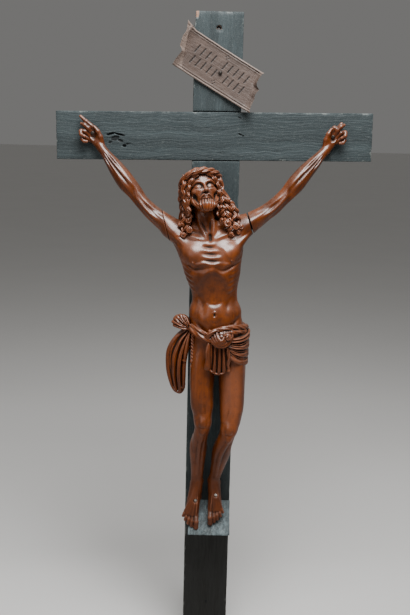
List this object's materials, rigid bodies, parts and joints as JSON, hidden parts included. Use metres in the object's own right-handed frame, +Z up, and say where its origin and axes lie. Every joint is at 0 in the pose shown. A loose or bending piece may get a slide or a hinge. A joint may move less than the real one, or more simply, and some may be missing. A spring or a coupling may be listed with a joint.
{
  "type": "wall crucifix with corpus figure",
  "caption": "Flat plank cross carrying a carved wooden corpus with a knotted loincloth, a foot wedge, nails and a slanted scroll tablet.",
  "frame": {"origin": "flat back of the upright, at the middle of its crossing with the crossbar", "axes": "+Z up the upright, +X to the viewer's right along the crossbar, the front looks along -Y"},
  "size_m": [0.3036, 0.0729, 0.6446],
  "materials": {
    "cross_paint": "dark grey-green paint over plank grain, satin",
    "block_paint": "the same paint worn pale and dusty",
    "tablet_wood": "stained thin board, dull, worn edges",
    "figure_wood": "red-brown fine-grained wood, waxed and polished by handling",
    "nail_iron": "plain iron nails, bright on the heads"
  },
  "bodies": {
    "root": {"cross_upright": "cross_paint", "crossbar": "cross_paint", "foot_block": "block_paint", "title_tablet": "tablet_wood", "tablet_nail": "nail_iron", "hand_nail_right": "nail_iron", "hand_nail_left": "nail_iron", "foot_nail_right": "nail_iron", "foot_nail_left": "nail_iron", "right_arm": "figure_wood", "left_arm": "figure_wood", "corpus_body": "figure_wood"}
  },
  "joints": []
}
